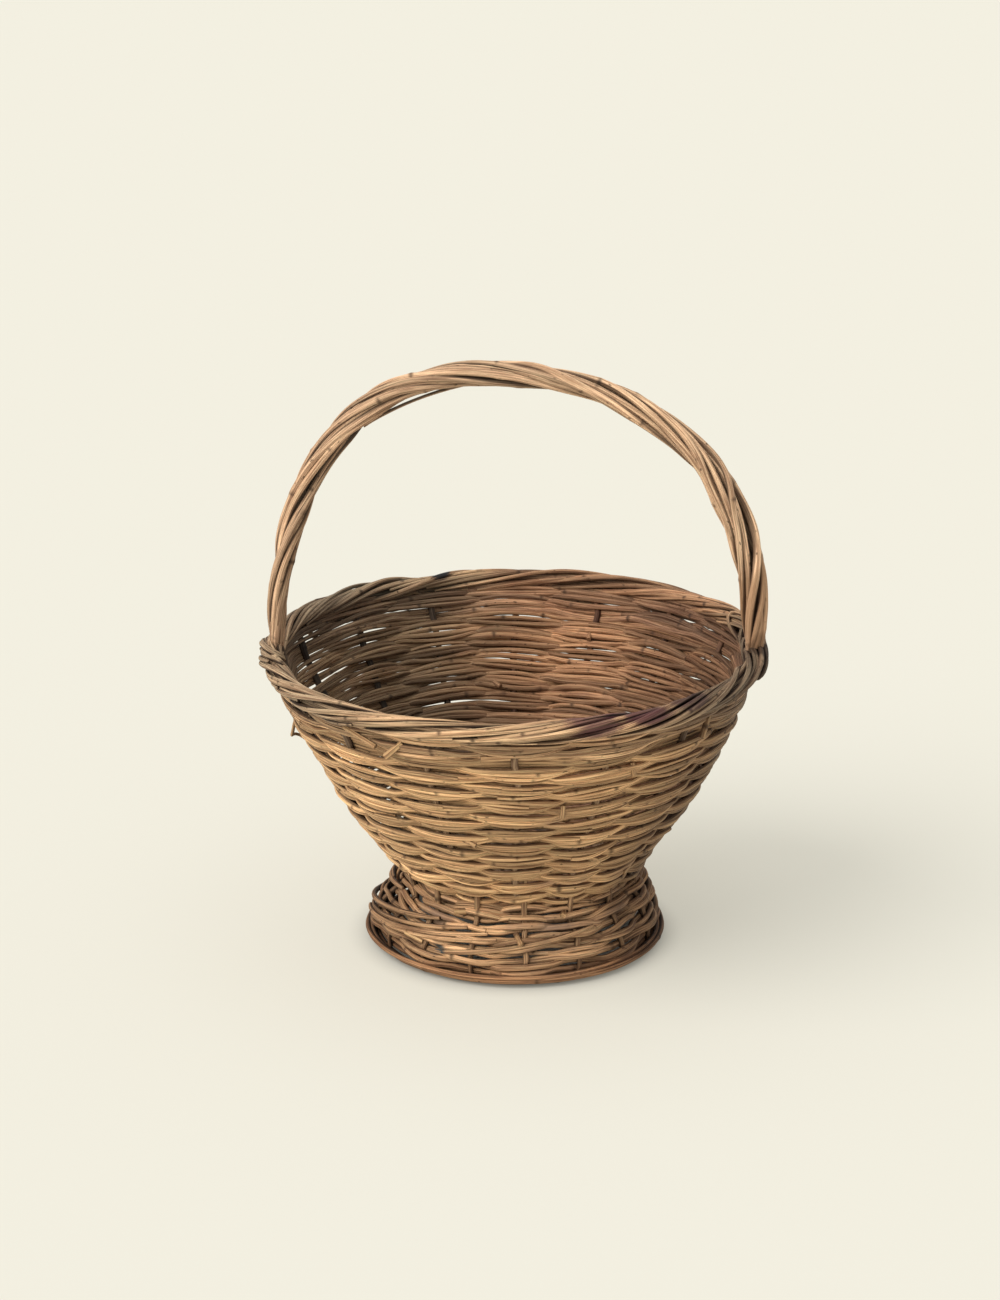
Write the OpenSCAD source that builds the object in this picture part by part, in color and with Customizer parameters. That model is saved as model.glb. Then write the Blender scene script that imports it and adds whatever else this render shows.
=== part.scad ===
// Footed wicker basket with a roped hoop handle.
// Eight long rods cross in the base and turn up as sixteen side stakes, whose ends are laid down
// into a rolled border. Woven rows pass in front of and behind the stakes. Sixteen foot stakes are
// pushed up beside the side stakes and carry the rows of the flared foot.
// Origin: centre of the foot on the ground. +Z is up, and the handle stands across X.

/* [Bowl] */
// Radius of the stakes where the side leaves the base
bowl_base_r = 56.5; // [56:0.5:59]
// Height of that point above the ground
bowl_base_z = 39.5; // [38:0.5:40]
// Lean of the side away from upright at the base, in degrees
lean_at_base = 37; // [36:0.5:38]
// Radius of the side's long vertical curve
side_curve_r = 497; // [480:1:520]
// Number of woven rows on the side
side_rows = 20; // [18:1:20]
// Distance between the rows, along the side
side_pitch = 5.4; // [5.2:0.1:5.4]

/* [Rods] */
// Radius of the side stakes
stake_r = 1.8; // [1.6:0.1:1.8]
// Thickness of a woven row, across the wall
row_thick = 3; // [2.6:0.1:3]
// Height of a woven row, two rods laid one above the other
row_high = 4.8; // [4.4:0.1:4.8]
// Radius of the foot stakes
foot_stake_r = 1.6; // [1.4:0.1:1.6]

/* [Border] */
// Distance along the side from the base to the middle of the border
border_along = 125.9; // [125.5:0.1:126.5]
// Radius at which the laid-down stakes turn round the middle of the border
border_turn_r = 5; // [4.9:0.1:5.2]
// Radius of the laid-down stakes
border_rod_r = 1.6; // [1.4:0.1:1.6]

/* [Foot] */
// Radius of the foot stakes at the ground
foot_r = 70.6; // [70:0.2:71]
// Number of woven rows on the foot
foot_rows = 5; // [4:1:5]
// Distance between the foot rows
foot_pitch = 5.6; // [5.6:0.1:5.8]

/* [Handle] */
// Height of the handle's crown, at the middle of the rope
handle_top_z = 293; // [280:1:310]
// Squareness of the arch's right half: 2 is an ellipse
arch_power_right = 2.8; // [2:0.1:3]
// Squareness of the arch's left half
arch_power_left = 1.85; // [1.8:0.05:2.4]
// How far the crown stands to the left of the middle
arch_lean = 22; // [0:1:24]
// Radius of the bow rod inside the rope
bow_r = 2.4; // [2:0.1:2.6]
// Radius of the rods twisted round the bow
strand_r = 2; // [1.6:0.1:2.1]
// Number of full turns that the twisted rods make
strand_turns = 2.5; // [1.5:0.5:3.5]

/* [Hidden] */
SIDE_NODES = ["side_row_01", "side_row_02", "side_row_03", "side_row_04", "side_row_05", "side_row_06",
    "side_row_07", "side_row_08", "side_row_09", "side_row_10", "side_row_11", "side_row_12",
    "side_row_13", "side_row_14", "side_row_15", "side_row_16", "side_row_17", "side_row_18",
    "side_row_19", "side_row_20"];
SPOKE_NODES = ["spoke_rod_1", "spoke_rod_2", "spoke_rod_3", "spoke_rod_4", "spoke_rod_5", "spoke_rod_6",
    "spoke_rod_7", "spoke_rod_8"];
BASE_NODES = ["base_row_1", "base_row_2", "base_row_3", "base_row_4"];
FOOT_NODES = ["foot_row_1", "foot_row_2", "foot_row_3", "foot_row_4", "foot_row_5"];
STRAND_NODES = ["handle_strand_1", "handle_strand_2", "handle_strand_3", "handle_strand_4",
    "handle_strand_5", "handle_strand_6"];

stakes = 16;
stake_step = 360 / stakes;
row_samples = 3 * stakes;
gap = 0.12;
rod_sides = 5;
weave_reach = stake_r + row_thick / 2 + gap;
first_row_along = 4.2;
wale_high = 4.4;
wale_along = 113;

// The side's vertical curve, as [radius, height] pairs of a circle about side_centre.
side_centre = [bowl_base_r - side_curve_r * cos(lean_at_base), bowl_base_z + side_curve_r * sin(lean_at_base)];
function side_lean(along) = lean_at_base - along / side_curve_r * 180 / PI;
function side_point(along) = side_centre + side_curve_r * [cos(side_lean(along)), -sin(side_lean(along))];
function side_out(along) = [cos(side_lean(along)), -sin(side_lean(along))];
function side_up(along) = [sin(side_lean(along)), cos(side_lean(along))];

// The foot's vertical curve: upright at the ground, and leaning in until it meets the waist's curve,
// which is the circle about waist_centre that turns a foot stake up beside a side stake.
foot_start_z = 5;
waist_r = 8;
waist_along = 2;
waist_centre = side_point(waist_along) + waist_r * side_out(waist_along);
waist_from_foot = waist_centre - [foot_r, foot_start_z];
foot_curve_r = (waist_from_foot * waist_from_foot - waist_r * waist_r) / (2 * (waist_r - waist_from_foot[0]));
foot_centre = [foot_r - foot_curve_r, foot_start_z];
foot_top_lean = atan2(waist_from_foot[1], waist_from_foot[0] + foot_curve_r);
foot_shift = 3.9;
first_foot_row_along = 3.9;
foot_row_high = 5.2;
function foot_lean(along) = along / foot_curve_r * 180 / PI;
function foot_point(along) = foot_centre + foot_curve_r * [cos(foot_lean(along)), sin(foot_lean(along))];
function foot_out(along) = [cos(foot_lean(along)), sin(foot_lean(along))];
function foot_up(along) = [-sin(foot_lean(along)), cos(foot_lean(along))];

// The base: its plane, and the bend that turns a spoke up into a stake.
turn_up_r = 10;
turn_centre = [bowl_base_r - turn_up_r * cos(lean_at_base), bowl_base_z + turn_up_r * sin(lean_at_base)];
base_z = turn_centre[1] - turn_up_r;
spoke_pitch = 4.2;
cross_half = 2 * spoke_pitch;
cross_clear = 14;
spread_from = 18;
spoke_layer = 2.05;

border_centre = side_point(border_along);
border_turn_rate = 4;
border_first_turn = -90 - side_lean(border_along);
border_join = 3.45;
border_span = 81.5;
lay_down_from = 114;

bow_shift = -2.05;
bow_foot_along = 84;
bow_foot_r = 1.7;
arch_foot_z = 158;
arch_half = border_centre[0];
strand_start_z = 156.2;
strand_reach = bow_r + strand_r + gap;

function turned(angle) = [cos(angle), sin(angle)];
function polar(rz, turn) = [rz[0] * cos(turn), rz[0] * sin(turn), rz[1]];
function clamp(x) = max(-1, min(1, x));
function unit(v) = v / norm(v);
// Across t, the part of v that is square to it.
function square_to(v, t) = unit(v - (v * t) * t);

// Skins a list of rings with triangles: a closed loop of rings, or a rod with two flat ends.
module loft(rings, closed) {
    m = len(rings);
    n = len(rings[0]);
    sides = [for (i = [0:closed ? m - 1 : m - 2], j = [0:n - 1])
        let (a = i * n + j, b = i * n + (j + 1) % n, c = (i + 1) % m * n + (j + 1) % n, d = (i + 1) % m * n + j)
        each [[a, b, c], [a, c, d]]];
    ends = closed ? [] : [[for (j = [n - 1:-1:0]) j], [for (j = [0:n - 1]) (m - 1) * n + j]];
    polyhedron(points = [for (r = rings) each r], faces = concat(sides, ends));
}

// A round rod along a path, with a radius for each point of it.
module rod(path, radii, first = [0, 0, 1]) {
    n = len(path);
    along = [for (i = [0:n - 1]) unit(path[min(i + 1, n - 1)] - path[max(i - 1, 0)])];
    across = [for (i = 0, v = square_to(first, along[0]); i < n;
        i = i + 1, v = i < n ? square_to(v, along[i]) : v) v];
    loft([for (i = [0:n - 1])
        let (u = across[i], w = cross(along[i], u))
        [for (j = [0:rod_sides - 1])
            path[i] + radii[i] * (cos(360 * j / rod_sides) * u - sin(360 * j / rod_sides) * w)]], false);
}

// A flat band of two rods woven in and out of the stakes, side being 1 or -1 at the first stake.
module woven_ring(point, out, up, thick, high, reach, side, turn) {
    loft([for (i = [0:row_samples - 1])
        let (a = 360 * i / row_samples, in_out = reach * side * clamp(2 * cos(a * stakes / 2)))
        [for (c = [[1, -1], [1, 1], [-1, 1], [-1, -1]])
            polar(point + (in_out + c[0] * thick / 2) * out + c[1] * high / 2 * up, a + turn)]], true);
}

// A flat ring woven over and under groups of spokes: groups holds [middle, half width] angles.
module base_ring(r, wide, thick, groups, side) {
    reach = stake_r + thick / 2 + gap;
    corners = [for (k = [0:len(groups) - 1])
        let (over = reach * (k % 2 == 0 ? side : -side))
        each [for (q = [-1, 0, 1]) [groups[k][0] + q * groups[k][1], over]]];
    loft([for (p = corners) [for (c = [[1, -1], [1, 1], [-1, 1], [-1, -1]])
        polar([r + c[0] * wide / 2, base_z + p[1] + c[1] * thick / 2], p[0])]], true);
}

// Half of a spoke rod: from the middle of the base, up the side and round in the border.
// Its path lies at offset beside the group's middle line, and rises at the angle turn from it.
function half_spoke(offset, turn, layer) = let (
    spread = 48,
    flat = [[0, offset, base_z + layer], [cross_half, offset, base_z + layer],
        [cross_clear, offset, base_z], [spread_from, offset, base_z]],
    edge = polar([spread, base_z], turn),
    bend = [for (a = [0:(90 - lean_at_base) / 3:90 - lean_at_base])
        polar(turn_centre + turn_up_r * [sin(a), -cos(a)], turn)],
    side = [for (s = [lay_down_from / 6 - 1:lay_down_from / 6:lay_down_from]) polar(side_point(s), turn)],
    lay = [for (a = [0:22.5:67.5])
        let (s = lay_down_from + (border_along - border_turn_r - lay_down_from) * sin(a))
        polar(side_point(s), turn + border_join * (1 - cos(a)))],
    laid = [for (a = [0:border_span / 15:border_span])
        let (roll = border_first_turn + border_turn_rate * a)
        polar(border_centre + border_turn_r * [cos(roll), sin(roll)], turn + border_join + a)])
    concat(flat, [edge], bend, side, lay, laid);

function reversed(list) = [for (i = [len(list) - 1:-1:0]) list[i]];
function mirrored(list) = [for (p = list) [-p[0], p[1], p[2]]];

// The far end of each spoke rod rises on the other side, and its border end turns the same way round.
function far_spoke(offset, turn, layer) =
    [for (p = half_spoke(-offset, -turn, layer)) [-p[0], -p[1], p[2]]];

module spoke_rod(k) {
    crossing = k < 4 ? 0 : 1;
    offset = (k % 4 - 1.5) * spoke_pitch;
    turn = (k % 4 - 1.5) * stake_step;
    layer = crossing == 0 ? -spoke_layer : spoke_layer;
    near = half_spoke(offset, turn, layer);
    far = far_spoke(offset, turn, layer);
    path = concat(reversed(near), [for (i = [1:len(far) - 1]) far[i]]);
    ends = [for (p = path) p[2] > border_centre[1] - 2 * border_turn_r ? border_rod_r : stake_r];
    color("peru") rotate([0, 0, stake_step / 2 + 90 * crossing]) rod(path, ends);
}

function spoke_angle(r, k) =
    let (turn = (k % 4 - 1.5) * stake_step, offset = (k % 4 - 1.5) * spoke_pitch,
        far = 48 * [cos(turn), sin(turn)], near = [spread_from, offset],
        t = (r - norm(near)) / (48 - norm(near)), p = near + t * (far - near))
    floor(k / 4) * 90 + atan2(p[1], p[0]) + stake_step / 2;

module base_binding() {
    color("burlywood") for (ring = [[15.4, 1], [18.3, -1]])
        base_ring(ring[0], 2.6, 2.2, [for (k = [0:3]) [k * 90 + stake_step / 2, asin(8.4 / (ring[0] - 1.3))]], ring[1]);
}

module base_row(i) {
    r = [24.2, 31.6, 37.6, 43.6][i];
    groups = i == 0
        ? [for (k = [0:7]) let (a = spoke_angle(r, 2 * k), b = spoke_angle(r, 2 * k + 1)) [(a + b) / 2, (b - a) / 2 + 5.6]]
        : [for (k = [0:15]) [spoke_angle(r, k), 150 / r]];
    color("burlywood") base_ring(r, 5.4, 2.6, groups, i % 2 == 0 ? 1 : -1);
}

module side_row(i) {
    s = first_row_along + side_pitch * i;
    beside_foot_stake = s < 24;
    color("tan") woven_ring(side_point(s), side_out(s), side_up(s), row_thick, row_high, weave_reach,
        i % 2 == 0 ? 1 : -1, beside_foot_stake ? foot_shift / 2 : 0);
}

module rim_wale() {
    color("tan") woven_ring(side_point(wale_along), side_out(wale_along), side_up(wale_along), row_thick,
        wale_high, weave_reach, -1, 0);
}

// A foot stake's path: up the foot, back through the waist, and a short way up the side.
foot_stake_path = let (
    lowest = -1.8,
    leg_end_along = 18,
    waist_first = 180 + foot_top_lean,
    waist_last = 180 - side_lean(waist_along))
    concat([for (i = [0:6]) foot_centre + foot_curve_r * turned(lowest + i / 6 * (foot_top_lean - lowest))],
        [for (i = [1:5]) waist_centre + waist_r * turned(waist_first + i / 5 * (waist_last - waist_first))],
        [side_point(leg_end_along)]);

module foot_stakes() {
    color("peru") for (k = [0:stakes - 1])
        rod([for (p = foot_stake_path) polar(p, stake_step * k + foot_shift)],
            [for (p = foot_stake_path) foot_stake_r], polar([1, 0], stake_step * k + foot_shift));
}

module foot_row(i) {
    s = first_foot_row_along + foot_pitch * i;
    color("burlywood") woven_ring(foot_point(s), foot_out(s), foot_up(s), row_thick, foot_row_high,
        foot_stake_r + row_thick / 2 + gap, i % 2 == 0 ? 1 : -1, foot_shift);
}

module hoop(r, z, rod_r) {
    rotate_extrude($fn = 128) translate([r, z]) circle(rod_r, $fn = 32);
}

// The lowest rod, worn flat where it stands.
module foot_rest_hoop() {
    worn_r = 1.9;
    color("sienna") rotate_extrude($fn = 128) intersection() {
        translate([foot_r, 1.5]) circle(worn_r, $fn = 32);
        translate([foot_r - worn_r, 0]) square(2 * worn_r);
    }
}

module foot_outer_hoop() {
    color("sienna") hoop(foot_r + 3.3, 4.3, 1.5);
}

module foot_inner_hoop() {
    color("sienna") hoop(foot_r - 3.3, 4.3, 1.5);
}

// The arch's middle line for t from 0, the right foot, to 180, the left one.
function arch_point(t) =
    let (power = t < 90 ? arch_power_right : arch_power_left,
        w = pow(sin(t), 2 / power), x = sign(cos(t)) * pow(abs(cos(t)), 2 / power))
    [arch_half * x - arch_lean * w * w, 0, arch_foot_z + (handle_top_z - arch_foot_z) * w];

// The rope's middle line runs straight up to the arch's feet, then over it.
rope_path = concat([[arch_half, 0, strand_start_z]], [for (t = [0:4:180]) arch_point(t)],
    [[-arch_half, 0, strand_start_z]]);
rope_last = len(rope_path) - 1;
rope_along = [for (i = [0:rope_last]) unit(rope_path[min(i + 1, rope_last)] - rope_path[max(i - 1, 0)])];
rope_done = [for (i = 0, d = 0; i <= rope_last;
    i = i + 1, d = i <= rope_last ? d + norm(rope_path[i] - rope_path[i - 1]) : d) d];

module handle_bow() {
    leg = [for (s = [bow_foot_along:10:lay_down_from]) let (p = side_point(s)) [p[0], 0, p[1]]];
    through = [[border_centre[0], 0, border_centre[1] - 1], [border_centre[0], 0, border_centre[1] + 6.6]];
    right = concat(leg, through);
    path = concat(right, rope_path, mirrored(reversed(right)));
    radii = [for (p = path) p[2] < strand_start_z - 0.1 ? bow_foot_r : bow_r];
    color("saddlebrown") rotate([0, 0, bow_shift]) rod(path, radii, [0, 1, 0]);
}

module handle_strand(k) {
    path = [for (i = [0:rope_last])
        let (turn = 60 * k + 360 * strand_turns * rope_done[i] / rope_done[rope_last],
            t = rope_along[i], out = [t[2], 0, -t[0]])
        rope_path[i] + strand_reach * (cos(turn) * out + [0, sin(turn), 0])];
    radii = [for (i = [0:rope_last]) strand_r * (i == 0 || i == rope_last ? 0.7 : 1)];
    color("tan") rotate([0, 0, bow_shift]) rod(path, radii, [0, 1, 0]);
}

// Three turns of thin rod round the border beside the handle's foot.
module handle_lashing() {
    color("burlywood") for (turn = [-7.2, -5.6, 4.8]) rotate([0, 0, turn])
        translate([border_centre[0], 0, border_centre[1]]) rotate([90, 0, 0])
            rotate_extrude($fn = 96) translate([8.3, 0]) circle(1.2, $fn = 24);
}

for (k = [0:7]) spoke_rod(k);
base_binding();
for (k = [0:3]) base_row(k);
for (k = [0:side_rows - 1]) side_row(k);
rim_wale();
foot_stakes();
for (k = [0:foot_rows - 1]) foot_row(k);
foot_rest_hoop();
foot_outer_hoop();
foot_inner_hoop();
handle_bow();
for (k = [0:5]) handle_strand(k);
handle_lashing();  // handle_lashing_right
rotate([0, 0, 180]) handle_lashing();  // handle_lashing_left
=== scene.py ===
import math

import bpy
import numpy as np
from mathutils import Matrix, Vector


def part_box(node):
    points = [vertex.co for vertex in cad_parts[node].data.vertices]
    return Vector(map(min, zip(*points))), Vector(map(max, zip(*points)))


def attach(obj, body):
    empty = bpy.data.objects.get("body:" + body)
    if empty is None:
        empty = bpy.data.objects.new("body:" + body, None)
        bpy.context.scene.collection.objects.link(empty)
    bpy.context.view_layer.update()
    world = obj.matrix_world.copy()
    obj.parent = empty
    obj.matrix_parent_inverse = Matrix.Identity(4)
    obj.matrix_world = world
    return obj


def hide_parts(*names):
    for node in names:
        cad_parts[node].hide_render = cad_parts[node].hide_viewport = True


# A footed wicker basket, rod by rod. Every rod is a path in millimetres with a thickness. One Geometry Nodes
# tree sweeps the paths into rods, and one kind of bark colours them. The walls' shapes come from the CAD.

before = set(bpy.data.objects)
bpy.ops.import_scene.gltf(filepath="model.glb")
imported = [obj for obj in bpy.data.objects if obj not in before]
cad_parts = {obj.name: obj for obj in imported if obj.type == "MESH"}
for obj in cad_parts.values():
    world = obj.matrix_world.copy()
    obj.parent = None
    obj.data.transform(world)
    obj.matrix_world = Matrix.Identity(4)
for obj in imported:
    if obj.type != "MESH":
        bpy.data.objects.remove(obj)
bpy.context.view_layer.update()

# Lengths below are in millimetres and angles in radians. MM turns a length into Blender's metres.
MM = 0.001
TURN = 2 * math.pi
STAKES = 16
STAKE_STEP = TURN / STAKES
SIDE_ROWS = 20
FOOT_ROWS = 5
STAKE_R = 1.8
BODY = "root"


# ---------------------------------------------------------------- surfaces, from the frame

def ring_place(node):
    """The middle radius and height of a ring-shaped CAD node."""
    co = np.array([v.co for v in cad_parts[node].data.vertices]) / MM
    radius = np.hypot(co[:, 0], co[:, 1])
    return (radius.min() + radius.max()) / 2, (co[:, 2].min() + co[:, 2].max()) / 2


class Wall:
    """A turned surface through numbered rings. Row 0 is the lowest, and rows between may be fractions."""

    def __init__(self, nodes, degree):
        places = np.array([ring_place(node) for node in nodes])
        rows = np.arange(len(nodes))
        self.radius = np.polyfit(rows, places[:, 0], degree)
        self.height = np.polyfit(rows, places[:, 1], degree)
        self.pitch = np.hypot(*np.diff(places, axis=0).T).mean()

    def rise(self, row):
        """Unit direction up the surface, as radius and height."""
        radius_rise = np.polyval(np.polyder(self.radius), row)
        height_rise = np.polyval(np.polyder(self.height), row)
        along = np.stack([radius_rise, height_rise], -1)
        return along / np.linalg.norm(along, axis=-1, keepdims=True)

    def outward(self, angle, row):
        """Unit directions out of the surface."""
        angle, row = np.broadcast_arrays(np.asarray(angle, float), row)
        rise = self.rise(row)
        return np.stack([rise[..., 1] * np.cos(angle), rise[..., 1] * np.sin(angle), -rise[..., 0]], -1)

    def at(self, angle, row, out=0.0):
        """Points at an angle round the basket, on a row, and out from the surface."""
        angle, row, out = np.broadcast_arrays(np.asarray(angle, float), row, out)
        rise = self.rise(row)
        radius = np.polyval(self.radius, row) + out * rise[..., 1]
        height = np.polyval(self.height, row) - out * rise[..., 0]
        return np.stack([radius * np.cos(angle), radius * np.sin(angle), height], -1)


side = Wall([f"side_row_{k + 1:02d}" for k in range(SIDE_ROWS)], 3)
foot = Wall([f"foot_row_{k + 1}" for k in range(FOOT_ROWS)], 3)

# How far up the wall things are, measured along it from its foot, as in the CAD source.
TOP_ROW_RISE = 106.8
WALE_RISE = 113.0
LAY_DOWN_RISE = 114.0
BORDER_RISE = 125.9
TURN_UP_RISE = -4.2


def row_at(rise):
    """The row number of a distance up the side."""
    return SIDE_ROWS - 1 + (rise - TOP_ROW_RISE) / side.pitch


WALE_ROW = row_at(WALE_RISE)
LAY_DOWN_ROW = row_at(LAY_DOWN_RISE)
BORDER_ROW = row_at(BORDER_RISE)
TURN_UP_ROW = TURN_UP_RISE / side.pitch
BORDER_R = float(np.polyval(side.radius, BORDER_ROW))
BORDER_Z = float(np.polyval(side.height, BORDER_ROW))
BASE_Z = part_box("spoke_rod_1")[0].z / MM + 3.85
ROPE_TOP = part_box("handle_bow")[1].z / MM - 3.6


# ---------------------------------------------------------------- randomness and small curves

def smooth_step(x):
    x = np.clip(x, 0, 1)
    return x * x * (3 - 2 * x)


def hump(x, middle, width):
    """A smooth bump of height 1 about middle."""
    return np.exp(-((x - middle) / width) ** 2)


def round_hump(angle, degrees, width):
    """The same, for an angle round the basket. The middle is in degrees and the width in radians."""
    return hump((angle - math.radians(degrees) + math.pi) % TURN - math.pi, 0, width)


def wander(rng, angle, size, waves=(1, 2, 3, 5, 7, 11)):
    """A smooth random drift round the basket, of about +-size."""
    total = np.zeros_like(angle)
    for wave in waves:
        total = total + rng.normal() / wave ** 0.5 * np.sin(wave * angle + rng.uniform(0, TURN))
    return size * total / 1.4


def in_and_out(angle, count=STAKES):
    """1 outside a stake and -1 inside the next one, crossing over between them."""
    return np.tanh(1.05 * np.cos(angle * count / 2)) / math.tanh(1.05)


def side_swell(angle, z):
    """How much fuller the bowl is at its two sides, and just above the foot on the right."""
    right = np.clip(np.cos(angle), 0, 1) ** 2
    left = np.clip(-np.cos(angle), 0, 1) ** 2
    up_the_bowl = np.clip((z - 36) / 108, 0, 1)
    belly = 4.6 * right * np.sin(up_the_bowl ** 0.8 * math.pi) + 3.4 * left
    bowl = smooth_step((z - 36) / 24) * smooth_step((185 - z) / 30)
    corner = 5.6 * right * hump(z, 38, 12)
    return bowl * (belly + 0.9 * np.sin(3 * angle + 0.6)) + corner


def upper_lift(angle, z):
    """How much higher the border and the rows under it ride, mostly behind."""
    rise = 3.0 * round_hump(angle, 58, 0.75)
    rise = rise + 1.7 * round_hump(angle, 140, 0.5)
    rise = rise + 2.4 * round_hump(angle, 18, 0.3)
    rise = rise - 1.0 * round_hump(angle, 215, 0.4)
    return smooth_step((z - 95) / 50) * smooth_step((175 - z) / 20) * rise


def settle(points):
    """The basket's own lopsidedness."""
    x, y, z = points.T
    angle = np.arctan2(y, x)
    keel = 2.2 * round_hump(angle, -68, 0.16) * hump(z, 56, 20)
    faces = 0.55 * np.cos(8 * angle + 0.5) * hump(z, 62, 28)
    waist = -6.0 * hump(z, 31, 10) * round_hump(angle, 186, 0.7)
    outward = side_swell(angle, z) + keel + faces + waist
    moved = points.copy()
    moved[:, 0] += outward * np.cos(angle)
    moved[:, 1] += outward * np.sin(angle)
    moved[:, 2] += upper_lift(angle, z)
    return moved


# ---------------------------------------------------------------- rods

class Rods:
    """Rods that become one piece: their paths, thicknesses and shades, and which way is out of the weave."""

    def __init__(self, seed):
        self.rng = np.random.default_rng(seed)
        self.paths = []

    def add(self, points, radius, tone=None, settled=True, outward=None):
        """Adds one rod. tone is 0 for a dark rod and 1 for a pale one."""
        points = np.asarray(points, float)
        radius = np.broadcast_to(np.asarray(radius, float), len(points)).copy()
        tone = self.rng.uniform(0, 1) if tone is None else tone
        if outward is None:
            flat = points * (1, 1, 0)
            outward = flat / np.maximum(np.linalg.norm(flat, axis=1, keepdims=True), 1)
        path = settle(points) if settled else points
        self.paths.append((path, radius, tone, self.rng.uniform(0, 1), np.asarray(outward)))

    def guide(self, name):
        """The paths as one mesh of edges that carries thickness, distance along, shade and rod number."""
        points = np.concatenate([path[0] for path in self.paths])
        edges = []
        columns = {"thick": [], "run": [], "tone": [], "rod": []}
        first = 0
        for path, radius, tone, number, _ in self.paths:
            count = len(path)
            edges += [(first + k, first + k + 1) for k in range(count - 1)]
            steps = np.linalg.norm(np.diff(path, axis=0), axis=1)
            columns["thick"].append(radius * MM)
            columns["run"].append(np.concatenate([[0], np.cumsum(steps)]) * MM)
            columns["tone"].append(np.full(count, tone))
            columns["rod"].append(np.full(count, number))
            first += count
        mesh = bpy.data.meshes.new(name)
        mesh.from_pydata((points * MM).tolist(), edges, [])
        for label, column in columns.items():
            attribute = mesh.attributes.new(label, "FLOAT", "POINT")
            attribute.data.foreach_set("value", np.concatenate(column).astype(np.float32))
        outward = mesh.attributes.new("outward", "FLOAT_VECTOR", "POINT")
        directions = np.concatenate([path[4] for path in self.paths])
        outward.data.foreach_set("vector", directions.astype(np.float32).ravel())
        return mesh


def add_node(tree, kind, inputs=None, **settings):
    node = tree.nodes.new(kind)
    for label, value in settings.items():
        setattr(node, label, value)
    for key, value in (inputs or {}).items():
        if isinstance(value, bpy.types.NodeSocket):
            tree.links.new(value, node.inputs[key])
        else:
            node.inputs[key].default_value = value
    return node


def add_math(tree, operation, *values):
    node = add_node(tree, "ShaderNodeMath", dict(enumerate(values)), operation=operation)
    return node.outputs[0]


def add_named(tree, name, kind="FLOAT"):
    node = add_node(tree, "GeometryNodeInputNamedAttribute", {"Name": name}, data_type=kind)
    return node.outputs["Attribute"]


ROD_INPUTS = (
    ("Step", "NodeSocketFloat", 0.0024),
    ("Sides", "NodeSocketInt", 10),
    ("Unevenness", "NodeSocketFloat", 0.16),
    ("Flutes", "NodeSocketFloat", 0.16),
    ("Knot spacing", "NodeSocketFloat", 0.043),
    ("Knot length", "NodeSocketFloat", 0.0016),
    ("Knot height", "NodeSocketFloat", 0.22),
    ("Seed", "NodeSocketFloat", 0.0),
    ("Material", "NodeSocketMaterial", None),
)


def knot_heights(tree, inputs, run, rod, around):
    """Bumps where leaves and side shoots grew, on one side of the rod at a time."""
    half = add_math(tree, "MULTIPLY", inputs["Knot spacing"], 0.5)
    place = add_math(tree, "ADD", run, add_math(tree, "MULTIPLY", rod, 3.7))
    away = add_math(tree, "PINGPONG", place, half)
    scaled = add_math(tree, "DIVIDE", away, inputs["Knot length"])
    squared = add_math(tree, "MULTIPLY", scaled, scaled)
    bump = add_math(tree, "EXPONENT", add_math(tree, "MULTIPLY", squared, -1.0))
    turn = add_math(tree, "MULTIPLY", around, TURN)
    turn = add_math(tree, "ADD", turn, add_math(tree, "MULTIPLY", place, 70.0))
    facing = add_math(tree, "MULTIPLY_ADD", add_math(tree, "COSINE", turn), 0.5, 0.5)
    return add_math(tree, "MULTIPLY", bump, facing)


def smooth_paths(tree, inputs, thick):
    """The guide's edges as smooth curves with evenly spaced points."""
    curve = add_node(tree, "GeometryNodeMeshToCurve", {"Mesh": inputs["Geometry"]}).outputs[0]
    smooth = add_node(tree, "GeometryNodeCurveSplineType", {"Curve": curve}, spline_type="CATMULL_ROM")
    even = add_node(tree, "GeometryNodeResampleCurve",
                    {"Curve": smooth.outputs[0], "Length": inputs["Step"]}, mode="LENGTH")
    sized = add_node(tree, "GeometryNodeSetCurveRadius", {"Curve": even.outputs[0], "Radius": thick})
    return sized.outputs[0]


def sweep(tree, inputs, paths, thick):
    """A round tube along each path, and how far round its tube each point is."""
    circle = add_node(tree, "GeometryNodeCurvePrimitiveCircle",
                      {"Resolution": inputs["Sides"], "Radius": 1.0}, mode="RADIUS")
    place = add_node(tree, "GeometryNodeSplineParameter")
    kept = add_node(tree, "GeometryNodeCaptureAttribute", {"Geometry": circle.outputs[0]}, domain="POINT")
    kept.capture_items.new("FLOAT", "around")
    tree.links.new(place.outputs["Factor"], kept.inputs[1])
    tube = add_node(tree, "GeometryNodeCurveToMesh",
                    {"Curve": paths, "Profile Curve": kept.outputs[0], "Scale": thick, "Fill Caps": True})
    return tube.outputs[0], kept.outputs[1]


def store(tree, geometry, name, value, kind="FLOAT"):
    """Writes a value on every point, for the materials to read."""
    node = add_node(tree, "GeometryNodeStoreNamedAttribute",
                    {"Geometry": geometry, "Name": name, "Value": value}, data_type=kind, domain="POINT")
    return node.outputs[0]


def centred_noise(tree, place, size):
    """Noise from -size to size."""
    noise = add_node(tree, "ShaderNodeTexNoise", {"Vector": place, "Scale": 1.0, "Detail": 1.0}).outputs[0]
    middle = add_math(tree, "SUBTRACT", noise, 0.5)
    return add_math(tree, "MULTIPLY", middle, add_math(tree, "MULTIPLY", size, 2.0))


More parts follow.
